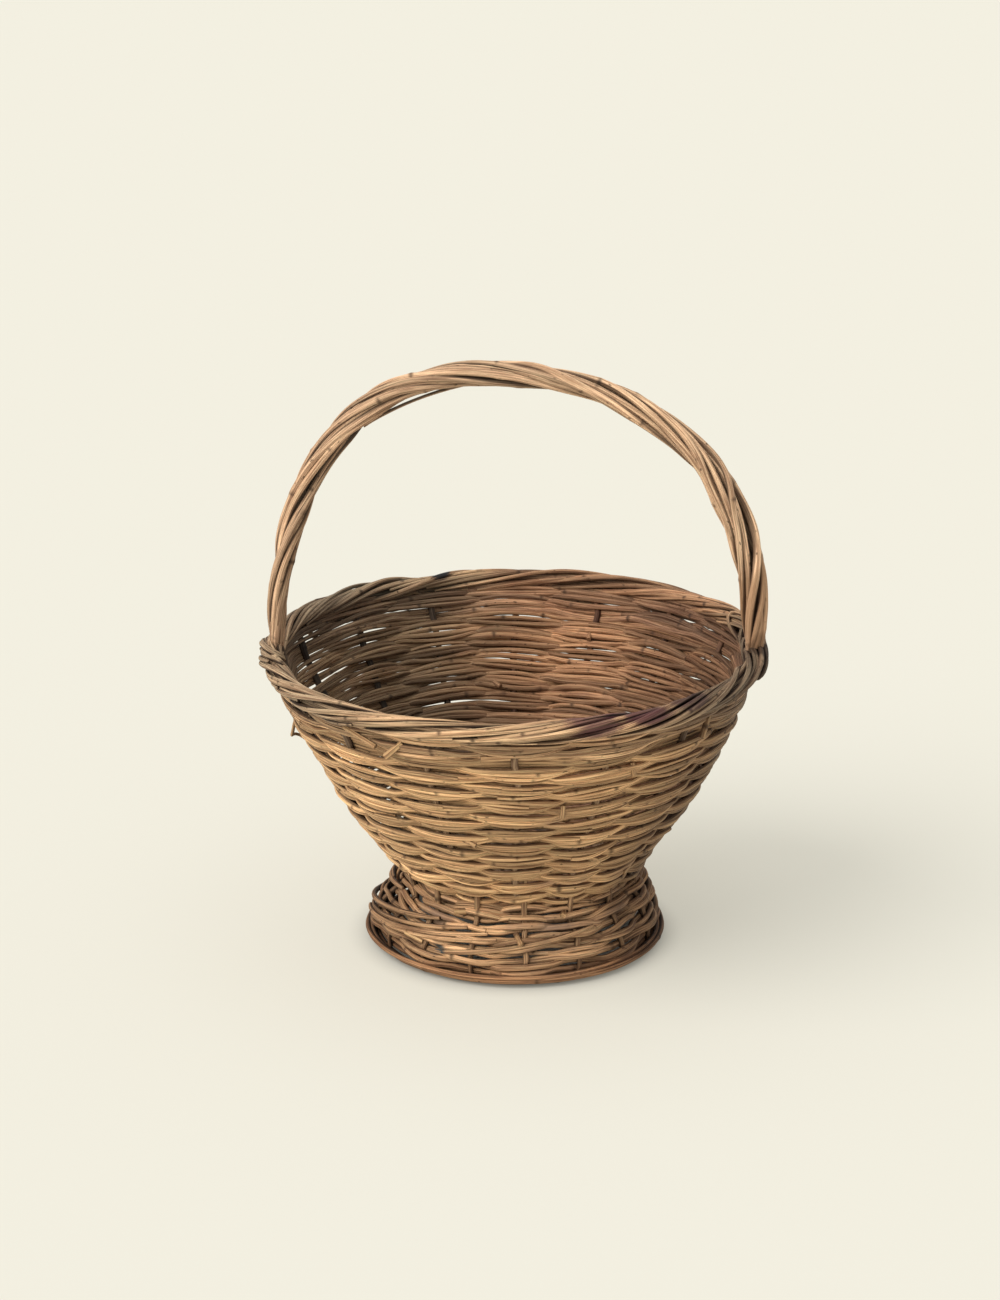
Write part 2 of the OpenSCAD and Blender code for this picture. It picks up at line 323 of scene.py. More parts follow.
def unevenness(tree, inputs, run, rod, cosine, sine):
    """Slow swelling along a rod and long flutes down its sides, as a share of its thickness."""
    shift = add_math(tree, "MULTIPLY_ADD", rod, 91.0, inputs["Seed"])
    slow = add_node(tree, "ShaderNodeCombineXYZ",
                    {"X": add_math(tree, "MULTIPLY", run, 55.0), "Y": shift,
                     "Z": add_math(tree, "MULTIPLY", cosine, 0.5)}).outputs[0]
    flutes = add_node(tree, "ShaderNodeCombineXYZ",
                      {"X": add_math(tree, "MULTIPLY_ADD", run, 9.0, shift),
                       "Y": add_math(tree, "MULTIPLY", cosine, 1.5),
                       "Z": add_math(tree, "MULTIPLY", sine, 1.5)}).outputs[0]
    swelling = centred_noise(tree, slow, inputs["Unevenness"])
    return add_math(tree, "ADD", swelling, centred_noise(tree, flutes, inputs["Flutes"]))


def new_rod_tree():
    """An empty tree with the rods' inputs."""
    tree = bpy.data.node_groups.new("willow rods", "GeometryNodeTree")
    tree.interface.new_socket(name="Geometry", in_out="INPUT", socket_type="NodeSocketGeometry")
    for name, kind, value in ROD_INPUTS:
        socket = tree.interface.new_socket(name=name, in_out="INPUT", socket_type=kind)
        if value is not None:
            socket.default_value = value
    tree.interface.new_socket(name="Geometry", in_out="OUTPUT", socket_type="NodeSocketGeometry")
    return tree


def rod_tree():
    """Sweeps each path into a knotted willow rod, and marks its points for the bark."""
    tree = new_rod_tree()
    start = tree.nodes.new("NodeGroupInput")
    inputs = start.outputs
    thick, run, rod = [add_named(tree, name) for name in ("thick", "run", "rod")]
    tube, around = sweep(tree, inputs, smooth_paths(tree, inputs, thick), thick)
    turn = add_math(tree, "MULTIPLY", around, TURN)
    cosine = add_math(tree, "COSINE", turn)
    sine = add_math(tree, "SINE", turn)
    skin = add_node(tree, "ShaderNodeCombineXYZ", {"X": run, "Y": cosine, "Z": sine}).outputs[0]
    knots = knot_heights(tree, inputs, run, rod, around)
    marked = store(tree, store(tree, tube, "skin", skin, "FLOAT_VECTOR"), "knot", knots)
    knotted = add_math(tree, "MULTIPLY", knots, inputs["Knot height"])
    share = add_math(tree, "ADD", unevenness(tree, inputs, run, rod, cosine, sine), knotted)
    normal = add_node(tree, "GeometryNodeInputNormal").outputs[0]
    offset = add_node(tree, "ShaderNodeVectorMath",
                      {0: normal, "Scale": add_math(tree, "MULTIPLY", share, thick)}, operation="SCALE")
    shaped = add_node(tree, "GeometryNodeSetPosition", {"Geometry": marked, "Offset": offset.outputs[0]})
    outward = add_named(tree, "outward", "FLOAT_VECTOR")
    facing = add_node(tree, "ShaderNodeVectorMath", {0: normal, 1: outward}, operation="DOT_PRODUCT")
    faced = store(tree, shaped.outputs[0], "facing", facing.outputs["Value"])
    soft = add_node(tree, "GeometryNodeSetShadeSmooth", {"Geometry": faced})
    real = add_node(tree, "GeometryNodeRealizeInstances", {"Geometry": soft.outputs[0]})
    finish = add_node(tree, "GeometryNodeSetMaterial",
                      {"Geometry": real.outputs[0], "Material": inputs["Material"]})
    end = tree.nodes.new("NodeGroupOutput")
    tree.links.new(finish.outputs[0], end.inputs[0])
    return tree


def set_inputs(modifier, values):
    sockets = {item.name: item.identifier for item in modifier.node_group.interface.items_tree
               if item.item_type == "SOCKET" and item.in_out == "INPUT"}
    for name, value in values.items():
        modifier[sockets[name]] = value


def make_piece(name, rods, material, slot, replaced, **values):
    """Turns the rods into one plain mesh that rides on the basket."""
    guide = bpy.data.objects.new(name + "_guide", rods.guide(name + "_guide"))
    bpy.context.scene.collection.objects.link(guide)
    modifier = guide.modifiers.new("rods", "NODES")
    modifier.node_group = ROD_TREE
    set_inputs(modifier, {"Material": material, **values})
    depsgraph = bpy.context.evaluated_depsgraph_get()
    swept = guide.evaluated_get(depsgraph)
    mesh = bpy.data.meshes.new_from_object(swept, preserve_all_data_layers=True, depsgraph=depsgraph)
    guide.modifiers.remove(modifier)
    bpy.data.objects.remove(guide)
    mesh.name = name
    piece = bpy.data.objects.new(name, mesh)
    bpy.context.scene.collection.objects.link(piece)
    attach(piece, BODY)
    if replaced:
        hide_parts(*replaced)
    return piece


# ---------------------------------------------------------------- willow materials

def add_noise(tree, vector, scale, detail=3.0, roughness=0.55, distortion=0.0):
    node = add_node(tree, "ShaderNodeTexNoise",
                    {"Vector": vector, "Scale": scale, "Detail": detail, "Roughness": roughness,
                     "Distortion": distortion})
    return node.outputs[0]


def add_ramp(tree, factor, low, high, top=1.0):
    """Takes factor from low..high to 0..top, smoothly."""
    node = add_node(tree, "ShaderNodeMapRange",
                    {"Value": factor, "From Min": low, "From Max": high, "To Min": 0.0, "To Max": top},
                    interpolation_type="SMOOTHSTEP")
    return node.outputs[0]


def add_mix(tree, factor, first, second, blend="MIX"):
    node = tree.nodes.new("ShaderNodeMix")
    node.data_type = "RGBA"
    node.blend_type = blend
    for socket, value in ((node.inputs[0], factor), (node.inputs[6], first), (node.inputs[7], second)):
        if isinstance(value, bpy.types.NodeSocket):
            tree.links.new(value, socket)
        elif isinstance(value, tuple):
            socket.default_value = (*value, 1.0)
        else:
            socket.default_value = value
    return node.outputs[2]


def add_spot(tree, place, middle, size, ragged):
    """1 inside a ragged patch about a point of the basket, 0 outside it. Sizes are in millimetres."""
    centre = tuple(c * MM for c in middle)
    per_size = tuple(1 / (c * MM) for c in size)
    away = add_node(tree, "ShaderNodeVectorMath", {0: place, 1: centre}, operation="SUBTRACT")
    scaled = add_node(tree, "ShaderNodeVectorMath", {0: away.outputs[0], 1: per_size}, operation="MULTIPLY")
    length = add_node(tree, "ShaderNodeVectorMath", {0: scaled.outputs[0]}, operation="LENGTH")
    uneven = add_math(tree, "MULTIPLY_ADD", ragged, 1.3, length.outputs["Value"])
    return add_ramp(tree, uneven, 1.70, 1.54)


STAINS_AND_PAINTED_SHADE = (
    # middle and half sizes in millimetres, colour, strength
    ((33, -112, 151), (25, 14, 10), (0.095, 0.024, 0.042), 0.8),
    ((56, -103, 153), (30, 13, 9), (0.095, 0.022, 0.04), 0.85),
    ((80, -86, 155), (21, 14, 8), (0.095, 0.028, 0.042), 0.7),
    ((-40, 113, 157), (8, 11, 6), (0.012, 0.02, 0.03), 0.95),
    ((-41, -62, 15), (9, 9, 4), (0.02, 0.045, 0.055), 0.95),
    ((123, -8, 155), (13, 14, 12), (0.03, 0.018, 0.012), 0.8),
    # painted shade over the handle's right root, not a stain
    ((121, -6, 174), (22, 22, 32), (0.28, 0.15, 0.075), 0.75),
)


WHITE = (1.0, 1.0, 1.0)
# The colour of the painted shade in the grooves between rods.
CREVICE_SHADE = (0.05, 0.03, 0.02)


def add_tint(tree, factor, colour, tint):
    """Multiplies a colour by a tint, by as much as the factor says."""
    return add_mix(tree, factor, colour, add_mix(tree, 1.0, colour, tint, "MULTIPLY"))


def add_value(tree, name):
    return add_node(tree, "ShaderNodeAttribute", attribute_name=name).outputs["Fac"]


def inner_tint(tree, across, up, inside, both_sides):
    """Painted shade on skin that faces into the basket: darker on the left, and low in the bowl."""
    left = (inside[0] * 0.54, inside[1] * 0.66, inside[2] * 0.72)
    tint = add_mix(tree, add_ramp(tree, across, -0.055, 0.02), left, inside)
    if both_sides:
        # painted shade low in the bowl
        tint = add_tint(tree, add_ramp(tree, up, 0.112, 0.074), tint, (0.62, 0.62, 0.64))
    return tint


def add_shading_by_place(tree, shade, across, deep, shading_by_place):
    """Tints parts of the basket as painted shade and light by place, as the tables listed before the willows
    say.
    """
    flat = add_node(tree, "ShaderNodeCombineXYZ", {"X": across, "Y": deep})
    away = add_node(tree, "ShaderNodeVectorMath", {0: flat.outputs[0]}, operation="LENGTH").outputs["Value"]
    side_share = add_math(tree, "DIVIDE", across, add_math(tree, "MAXIMUM", away, 0.06))
    for place_tint, from_side, from_front in shading_by_place:
        amount = add_ramp(tree, side_share, *from_side)
        if from_front:
            amount = add_math(tree, "MULTIPLY", amount, add_ramp(tree, deep, *from_front))
        shade = add_tint(tree, amount, shade, place_tint)
    return shade


def add_setting(tree, place, inside, crevice, both_sides, shading_by_place, low_shade):
    """Painted shade from where skin faces and where it is: painted shade in the grooves, inside and low
    down, and painted shade and light by place.
    """
    facing = add_value(tree, "facing")
    across, deep, up = add_node(tree, "ShaderNodeSeparateXYZ", {0: place}).outputs
    inner = add_ramp(tree, facing, 0.25, -0.35)
    shade = add_mix(tree, inner, WHITE, inner_tint(tree, across, up, inside, both_sides))
    shade = add_shading_by_place(tree, shade, across, deep, shading_by_place)
    # painted shade low down
    if low_shade:
        shade = add_tint(tree, add_ramp(tree, up, *low_shade[1]), shade, low_shade[0])
    level = add_math(tree, "ABSOLUTE", facing) if both_sides else facing
    # painted shade in the grooves, where neighbouring rods touch
    groove = add_ramp(tree, level, 0.62, 0.08, crevice)
    softer = inner if both_sides else add_ramp(tree, deep, 0.03, 0.09)
    groove = add_math(tree, "MULTIPLY", groove, add_math(tree, "MULTIPLY_ADD", softer, -0.75, 1.0))
    return add_mix(tree, groove, shade, CREVICE_SHADE)


def skin_noise(tree, skin, own, stretch, *look):
    """Noise over a rod's skin that is different on each rod."""
    place = add_node(tree, "ShaderNodeVectorMath", {0: skin, 1: stretch, 2: own}, operation="MULTIPLY_ADD")
    return add_noise(tree, place.outputs[0], 1.0, *look)


def bark_pattern(tree, place):
    """The noises of the bark, from specks on one rod to broad patches over the whole basket."""
    skin = add_node(tree, "ShaderNodeAttribute", attribute_name="skin").outputs["Vector"]
    rod = add_value(tree, "rod")
    own = add_node(tree, "ShaderNodeCombineXYZ",
                   {"X": add_math(tree, "MULTIPLY", rod, 57.0), "Y": add_math(tree, "MULTIPLY", rod, 31.0),
                    "Z": rod}).outputs[0]
    return {
        "streaks": skin_noise(tree, skin, own, (28.0, 2.6, 2.6), 4.0, 0.6, 0.4),
        "fine": skin_noise(tree, skin, own, (60.0, 9.0, 9.0), 3.0, 0.65),
        "specks": skin_noise(tree, skin, own, (300.0, 1.1, 1.1), 1.0, 0.5),
        "patches": add_noise(tree, place, 34.0, 3.0, 0.6),
        "broad": add_noise(tree, place, 11.0, 2.0, 0.5),
    }


def shade_of(colour, amount):
    return tuple(min(1, c * amount) for c in colour)


def bark_colour(tree, bark, pale, dark, grey, weathering):
    """Pale and dark streaks, lighter and darker lines, patches of grey, and each rod's own tone."""
    tone = add_value(tree, "tone")
    colour = add_mix(tree, add_ramp(tree, bark["streaks"], 0.38, 0.62), dark, pale)
    colour = add_mix(tree, add_ramp(tree, bark["fine"], 0.52, 0.64, 0.7), colour, shade_of(dark, 0.42))
    colour = add_mix(tree, add_ramp(tree, bark["fine"], 0.46, 0.34, 0.5), colour, shade_of(pale, 1.5))
    half_broad = add_math(tree, "MULTIPLY", bark["broad"], 0.5)
    aged = add_math(tree, "MULTIPLY_ADD", bark["patches"], 0.5, half_broad)
    aged = add_math(tree, "MULTIPLY_ADD", add_math(tree, "SUBTRACT", tone, 0.5), 0.16, aged)
    first_grey = 0.62 - weathering * 0.3
    all_grey = 0.80 - weathering * 0.3
    colour = add_mix(tree, add_ramp(tree, aged, first_grey, all_grey, 0.85), colour, grey)
    brightness = add_math(tree, "MULTIPLY_ADD", tone, 0.72, 0.64)
    shade = add_node(tree, "ShaderNodeCombineColor", {0: brightness, 1: brightness, 2: brightness})
    return add_mix(tree, 1.0, colour, shade.outputs[0], "MULTIPLY")


def bark_marks(tree, bark, colour, dark, place):
    """Dark specks, dark knots, the basket's old stains, and a painted shade low on the handle's right root.
    """
    colour = add_mix(tree, add_ramp(tree, bark["specks"], 0.70, 0.76, 0.75), colour, shade_of(dark, 0.16))
    knots = add_ramp(tree, add_value(tree, "knot"), 0.25, 0.9, 0.8)
    colour = add_mix(tree, knots, colour, shade_of(dark, 0.22))
    ragged = add_math(tree, "MULTIPLY_ADD", bark["patches"], 0.5, bark["fine"])
    for middle, size, stain_or_shade_colour, strength in STAINS_AND_PAINTED_SHADE:
        spot = add_spot(tree, place, middle, size, ragged)
        colour = add_mix(tree, add_math(tree, "MULTIPLY", spot, strength), colour, stain_or_shade_colour)
    return colour


def willow(name, pale, dark, grey, weathering, rough=0.6, shine=0.3, inside=WHITE, crevice=0.7,
           both_sides=True, shading_by_place=(), low_shade=None):
    """Weathered willow bark, with painted shade in its grooves, inside and low down, and painted shade and
    light by place.
    """
    material = bpy.data.materials.new(name)
    material.use_nodes = True
    tree = material.node_tree
    tree.nodes.clear()
    place = add_node(tree, "ShaderNodeTexCoord").outputs["Object"]
    bark = bark_pattern(tree, place)
    colour = bark_marks(tree, bark, bark_colour(tree, bark, pale, dark, grey, weathering), dark, place)
    setting = add_setting(tree, place, inside, crevice, both_sides, shading_by_place, low_shade)
    colour = add_mix(tree, 1.0, colour, setting, "MULTIPLY")
    height = add_math(tree, "MULTIPLY_ADD", bark["fine"], 0.6, bark["streaks"])
    height = add_math(tree, "MULTIPLY_ADD", bark["specks"], 0.5, height)
    bump = add_node(tree, "ShaderNodeBump", {"Height": height, "Strength": 0.9, "Distance": 0.0005})
    roughness = add_node(tree, "ShaderNodeMapRange",
                         {"Value": bark["streaks"], "From Min": 0.3, "From Max": 0.7,
                          "To Min": rough + 0.12, "To Max": rough - 0.06})
    shader = add_node(tree, "ShaderNodeBsdfPrincipled",
                      {"Base Color": colour, "Roughness": roughness.outputs[0], "Normal": bump.outputs[0],
                       "Specular IOR Level": shine})
    end = add_node(tree, "ShaderNodeOutputMaterial", {"Surface": shader.outputs[0]})
    end.is_active_output = True
    return material


# ---------------------------------------------------------------- the woven side

def lap_joints(rng, shortest=0.55):
    """How one turn of a row is shared between rods: each one's start and length, as angles."""
    start = rng.uniform(0, TURN)
    if rng.uniform() < 0.5:
        return [(start, TURN)]
    share = rng.uniform(shortest * 0.6, 1 - shortest * 0.6)
    return [(start, TURN * share), (start + TURN * share, TURN * (1 - share))]


def inner_share(count, points):
    """0 at a rod's two ends, and 1 from some points inwards."""
    away = np.minimum(np.arange(count), np.arange(count)[::-1])
    return smooth_step(away / points)


def taper_ends(count, radius, ends=4):
    """Rod radii that narrow over the last few points."""
    return radius * (0.72 + 0.28 * inner_share(count, ends))


def shared_waves(angle, height_share):
    """Slow waves that neighbouring rows share, so that they stay nested, in millimetres up the wall."""
    first = 0.75 * np.sin(2 * angle + 1.1 + 2.0 * height_share)
    second = 0.65 * np.sin(5 * angle + 2.3 + 3.5 * height_share)
    third = 0.5 * np.sin(9 * angle + 0.4 + 6.0 * height_share)
    return first + second + third


ROW_STEP = 4.5
LAP_LENGTH = 14
STAKE_CLEARANCE = 1.35


def fullness(angle, row):
    """How thick a row's rods are: full behind and on the right, thinner at the left below the top rows."""
    tight = 1.03 + 0.36 * round_hump(angle, 60, 1.05) - 0.33 * round_hump(angle, 166, 0.42)
    return tight + 0.2 * (row > 17) * round_hump(angle, 166, 0.42)


def closeness(angle, row, full, shove):
    """How far apart a row's rods lie. They are pressed together at the left, which leaves holes there."""
    pressed = 0.24 if row < 15 else 0.14 * (row < 18)
    spacing = full - pressed * round_hump(angle, 164, 0.5)
    return spacing + 0.11 * np.sin(7 * angle + shove[0]) + 0.09 * np.sin(13 * angle + shove[1])


def woven_row(rods, wall, row, outside_first, lanes, rod_r, shift=0.0, loose=0.35, reach=0.75, waves=1.0,
              fan=1.0, outset=0.0):
    """Rods that lie together in one row, passing in front of and behind the stakes.

    loose is how far a rod strays up and down, reach is how far it goes in and out, waves is how closely it
    follows the rows beside it, and fan is how far apart the rods lie.
    """
    rng = rods.rng
    middle_r = float(np.polyval(wall.radius, row))
    shove = rng.uniform(0, TURN, 3)
    row_seed = rng.integers(1 << 30)
    for lane in range(lanes):
        place = lane - (lanes - 1) / 2
        own_r = rod_r * rng.uniform(0.82, 1.16)
        drift_seed = rng.integers(1 << 30)
        for start, length in lap_joints(rng):
            angle = np.arange(start, start + length + LAP_LENGTH / middle_r, ROW_STEP / middle_r)
            sway = wander(np.random.default_rng(row_seed), angle, 0.03, (3, 5, 8, 13))
            passing = in_and_out(angle - shift + sway)
            held = np.abs(passing)
            full = fullness(angle, row)
            spread = (0.66 + 0.36 * held) * 2 * rod_r * fan
            drift = wander(np.random.default_rng(drift_seed), angle, loose, (2, 3, 5, 9, 14, 21))
            up = place * spread * closeness(angle, row, full, shove)
            up = up + waves * shared_waves(angle, row / 20) + drift
            depth = 0.55 * rod_r * (1 - held) * place * (1 if lanes == 2 else 1.3)
            out = outset + passing * outside_first * reach * (STAKE_CLEARANCE + own_r) + depth
            out = out + wander(rng, angle, 0.22)
            out = out + 0.9 * (1 - inner_share(len(angle), 4)) * rng.choice([-1, 1])
            points = wall.at(angle, row + up / wall.pitch, out)
            rods.add(points, taper_ends(len(angle), own_r * full), outward=wall.outward(angle, row))


LANE_RADII = {2: 1.76, 3: 1.32, 4: 1.02}


def rods_in_row(k):
    """Two to four, and more of them in the upper rows."""
    few = k % 5 == 2 or k == 9
    if k > 8:
        return 3 if few else 4
    return 2 if few else 3


def weave_side(material):
    """Twenty rows of two to four rods, each a piece of its own, and one more rod under the lowest."""
    for k in range(SIDE_ROWS):
        rods = Rods(100 + k)
        lanes = rods_in_row(k)
        rod_r = LANE_RADII[lanes] * rods.rng.uniform(0.95, 1.06)
        reach = 0.62 + 0.16 * float(smooth_step(k / 9))
        shift = math.radians(1.95) if k < 4 else 0.0
        woven_row(rods, side, k, 1 if k % 2 == 0 else -1, lanes, rod_r, shift=shift, reach=reach)
        if k == 0:
            woven_row(rods, side, -0.75, -1, 1, 1.4, shift=shift)
        name = f"{k + 1:02d}"
        make_piece(f"woven_row_{name}", rods, material, "side_willow", [f"side_row_{name}"], Seed=float(k))


def weave_wale(material):
    """Three tight turns of rods between the side and the border."""
    rods = Rods(140)
    woven_row(rods, side, WALE_ROW - 0.05, -1, 3, 1.2, loose=0.6)
    woven_row(rods, side, WALE_ROW + 0.9, 1, 3, 1.2, loose=0.6, waves=0.6)
    woven_row(rods, side, WALE_ROW + 1.55, -1, 3, 1.05, loose=0.5, waves=0.4)
    make_piece("rim_wale_rods", rods, material, "rim_willow", ["rim_wale"], Seed=40.0)


# ---------------------------------------------------------------- spokes, stakes and border

BORDER_TURN_R = 4.2
BORDER_MIDDLE_Z = BORDER_Z + 0.7
BORDER_TURN_RATE = 5.0
BORDER_RODS = 51
CORE_RODS = 5
LAY_ANGLE = math.radians(3.45)
FIRST_ROLL = -math.pi / 2 - math.atan2(*side.rise(np.array(BORDER_ROW)))


def border_turned(angle):
    """How far the border's rods have rolled by an angle: faster at the sides than in front and behind."""
    return BORDER_TURN_RATE * angle + 0.65 * np.sin(2 * angle)


def round_border(angle, roll, out, flatness=1.0):
    """Points beside the border's middle line, and the directions away from it."""
    radius = BORDER_R + out * np.cos(roll)
    height = BORDER_MIDDLE_Z + flatness * out * np.sin(roll)
    away = np.stack([np.cos(roll) * np.cos(angle), np.cos(roll) * np.sin(angle), np.sin(roll)], -1)
    return np.stack([radius * np.cos(angle), radius * np.sin(angle), height], -1), away


def border_coil(rng, first_angle, first_roll, span, turn_r, points=34):
    """Part of a border rod, rolling outwards, over the top and inwards as it goes round."""
    gone = np.linspace(0, span, points)
    angle = first_angle + gone
    roll = first_roll + border_turned(angle) - border_turned(first_angle)
    roll = roll + 0.2 * np.sin(3.1 * gone + rng.uniform(0, TURN))
    out = turn_r + 0.7 * np.sin(3.3 * gone + rng.uniform(0, TURN))
    out = out + 0.5 * np.sin(8.7 * gone + rng.uniform(0, TURN))
    return round_border(angle, roll, out, 0.95)


SPOKE_PITCH = 4.2
SPOKE_SPREAD = 48.0
CORNER_INSET = 3.2
CROSSING = ((0, 1.0), (5, 1.0), (8.4, 0.9), (14, 0.0), (18, 0.0))


def stake_into_border(turn):
    """The bend from a stake's top into the border."""
    rise = BORDER_ROW - 5 / side.pitch - LAY_DOWN_ROW
    return [side.at(turn + LAY_ANGLE * (1 - math.cos(a)), LAY_DOWN_ROW + rise * math.sin(a))
            for a in (0.4, 0.8, 1.2)]


def half_spoke(rng, place, layer):
    """From the middle of the base, up the side as a stake, and round in the border."""
    turn = place * STAKE_STEP
    ahead = np.array([math.cos(turn), math.sin(turn), 0.0])
    flat = [(x, place * SPOKE_PITCH, BASE_Z + layer * share) for x, share in CROSSING]
    near = np.array(flat[-1])
    far = SPOKE_SPREAD * ahead + (0, 0, BASE_Z)
    fan = [near + (far - near) * t for t in (0.33, 0.66)]
    corner = side.at(turn, TURN_UP_ROW) - CORNER_INSET * ahead
    corner[2] = BASE_Z + 1.0
    rows = np.linspace(TURN_UP_ROW + 0.3, LAY_DOWN_ROW - 0.4, 26)
    upright = side.at(turn + wander(rng, rows / 4, 0.006), rows, wander(rng, rows / 3, 0.15))
    laid, _ = border_coil(rng, turn + LAY_ANGLE, FIRST_ROLL, math.radians(74), BORDER_TURN_R)
    return np.concatenate([flat, fan, [far, corner], upright, stake_into_border(turn), laid])


def away_from_border(points):
    """Which way is out: away from the border's middle line near it, and from the basket's axis elsewhere."""
    x, y, z = points.T
    radius = np.maximum(np.hypot(x, y), 1)
    out, up = radius - BORDER_R, z - BORDER_MIDDLE_Z
    away = np.maximum(np.hypot(out, up), 0.1)
    near = away < 8
    level = np.where(near, out / away, 1) / radius
    return np.stack([x * level, y * level, np.where(near, up / away, 0)], -1)


def turned(points, angle):
    c, s = math.cos(angle), math.sin(angle)
    x, y, z = np.asarray(points).T
    return np.stack([c * x - s * y, s * x + c * y, z], -1)


def lay_spokes(material):
    """Eight rods that cross in the base and turn up into sixteen stakes."""
    for k in range(8):
        rods = Rods(200 + k)
        place = k % 4 - 1.5
        layer = -2.05 if k < 4 else 2.05
        near = half_spoke(rods.rng, place, layer)
        far = turned(half_spoke(rods.rng, -place, layer), math.pi)
        path = np.concatenate([near[::-1], far[1:]])
        path = turned(path, STAKE_STEP / 2 + (math.pi / 2 if k >= 4 else 0))
        thick = taper_ends(len(path), 1.75) * np.where(path[:, 2] > BORDER_MIDDLE_Z - 6, 0.76, 1)
        rods.add(path, thick, outward=away_from_border(path))
        make_piece(f"spoke_and_stakes_{k + 1}", rods, material, "stake_willow", [f"spoke_rod_{k + 1}"],
                   Seed=60.0 + k, Unevenness=0.1)


def fill_border(material):
    """The rods that fill the border out between the laid-down stakes, and the ones in its middle."""
    rods = Rods(230)
    rng = rods.rng
    for k in range(BORDER_RODS):
        angle = k * TURN / BORDER_RODS + LAY_ANGLE
        roll = FIRST_ROLL + rng.normal() * 0.12
        span = math.radians(rng.uniform(68, 84))
        if k % 3 == 0:
            coil, away = border_coil(rng, angle + 0.03, roll + 0.42, span, rng.uniform(4.1, 4.8))
        else:
            coil, away = border_coil(rng, angle, roll, span, rng.uniform(3.8, 4.5))
        rods.add(coil, taper_ends(len(coil), rng.uniform(0.85, 1.35), 3), outward=away)
    for k in range(CORE_RODS):
        angle = np.arange(0, TURN + 0.05, 0.05) + k
        roll = k * TURN / CORE_RODS + wander(rng, angle, 0.5)
        core, _ = round_border(angle, roll, 1.5)
        rods.add(core, 1.3, 0.1)
    make_piece("border_rods", rods, material, "rim_willow", [], Seed=80.0)


# ---------------------------------------------------------------- base

def base_ring(rods, radius, lane, groups, over_first, rod_r, turn=0.0):
    """One rod that goes round the base, over one group of spokes and under the next."""
    rng = rods.rng
    angle = np.arange(0, TURN + 0.12, 3.5 / radius) + rng.uniform(0, TURN)
    over = in_and_out(angle - turn, groups) * over_first
    ring_r = radius + lane + wander(rng, angle, 0.3)
    z = BASE_Z + over * (STAKE_R + rod_r + 0.1)
    ring = np.stack([ring_r * np.cos(angle), ring_r * np.sin(angle), z], -1)
    rods.add(ring, taper_ends(len(angle), rod_r))


def weave_base(material):
    """The binding of the cross, and four rows of three rods."""
    bind = Rods(300)
    for radius, over in ((14.6, 1), (16.2, 1), (17.6, -1), (19.0, -1)):
        base_ring(bind, radius, 0.0, 4, over, 1.05, math.radians(11.25))
    make_piece("base_binding_rods", bind, material, "base_willow", ["base_binding"], Seed=90.0)
    for k, radius in enumerate((24.2, 31.6, 37.6, 43.6)):
        rods = Rods(310 + k)
        groups = 8 if k == 0 else 16
        turn = math.radians(22.5 if k == 0 else 11.25)
        for lane in (-1.9, 0.0, 1.9):
            base_ring(rods, radius, lane, groups, 1 if k % 2 == 0 else -1, 1.2, turn)
        make_piece(f"base_row_rods_{k + 1}", rods, material, "base_willow", [f"base_row_{k + 1}"],
                   Seed=91.0 + k)


# ---------------------------------------------------------------- foot

FOOT_SHIFT = math.radians(3.9)


def cross_foot(rods):
    """Stray rods that climb slantwise over the outside of the foot."""
    rng = rods.rng
    for start in rng.uniform(0, TURN, 3):
        t = np.linspace(0, 1, 22)
        angle = start + t * rng.uniform(1.0, 1.7)
        row = rng.uniform(0.2, 1.2) + t * rng.uniform(1.6, 3.0)
        out = 3.6 + wander(rng, angle, 0.5)
        rods.add(foot.at(angle, row, out), taper_ends(len(t), rng.uniform(1.15, 1.5)))


def stake_foot(material):
    """Sixteen stakes, pushed up beside the side stakes."""
    stakes = Rods(400)
    for k in range(STAKES):
        turn = k * STAKE_STEP + FOOT_SHIFT
        rows = np.linspace(-0.9, FOOT_ROWS - 0.8, 8)
        low = foot.at(turn + wander(stakes.rng, rows, 0.01), rows)
        high = side.at(turn, np.linspace(0.2, 2.9, 5))
        path = np.concatenate([low, high])
        stakes.add(path, taper_ends(len(path), 1.5, 2), 0.02)
    make_piece("foot_stake_rods", stakes, material, "foot_willow", ["foot_stakes"], Seed=100.0)


def weave_foot(material):
    """Five rows. The top one goes on up, round the waist."""
    for k in range(FOOT_ROWS):
        rods = Rods(410 + k)
        first = 1 if k % 2 == 0 else -1
        woven_row(rods, foot, k, first, 2, 1.58, FOOT_SHIFT, loose=1.0, waves=1.0, fan=1.25)
        if k == FOOT_ROWS - 1:
            woven_row(rods, foot, k + 0.9, -first, 3, 1.4, FOOT_SHIFT, loose=0.5, waves=0.4, outset=1.5)
            woven_row(rods, foot, k + 1.6, first, 3, 1.4, FOOT_SHIFT, loose=0.4, waves=0.3, outset=2.6)
        if k in (1, 2, 3):
            cross_foot(rods)
        make_piece(f"foot_row_rods_{k + 1}", rods, material, "foot_willow", [f"foot_row_{k + 1}"],
                   Seed=101.0 + k)


def hoop_rods(name, node, count, spread, rod_r, seed, material):
    """Long thin rods lying nearly side by side round the bottom of the foot."""
    rods = Rods(seed)
    rng = rods.rng
    middle_r, middle_z = ring_place(node)
    for k in range(count):
        angle = np.arange(0, TURN + 0.2, 0.06) + rng.uniform(0, TURN)
        phase = k * TURN / count + angle * 1.0
        own_r = rod_r * rng.uniform(0.9, 1.1)
        radius = middle_r + spread * np.cos(phase) + wander(rng, angle, 0.4)
        z = np.maximum(middle_z + spread * np.sin(phase) * 0.8, own_r * 1.25 + 0.1)
        hoop = np.stack([radius * np.cos(angle), radius * np.sin(angle), z], -1)
        rods.add(hoop, taper_ends(len(angle), own_r))
    make_piece(name, rods, material, "foot_willow", [node], Seed=float(seed))


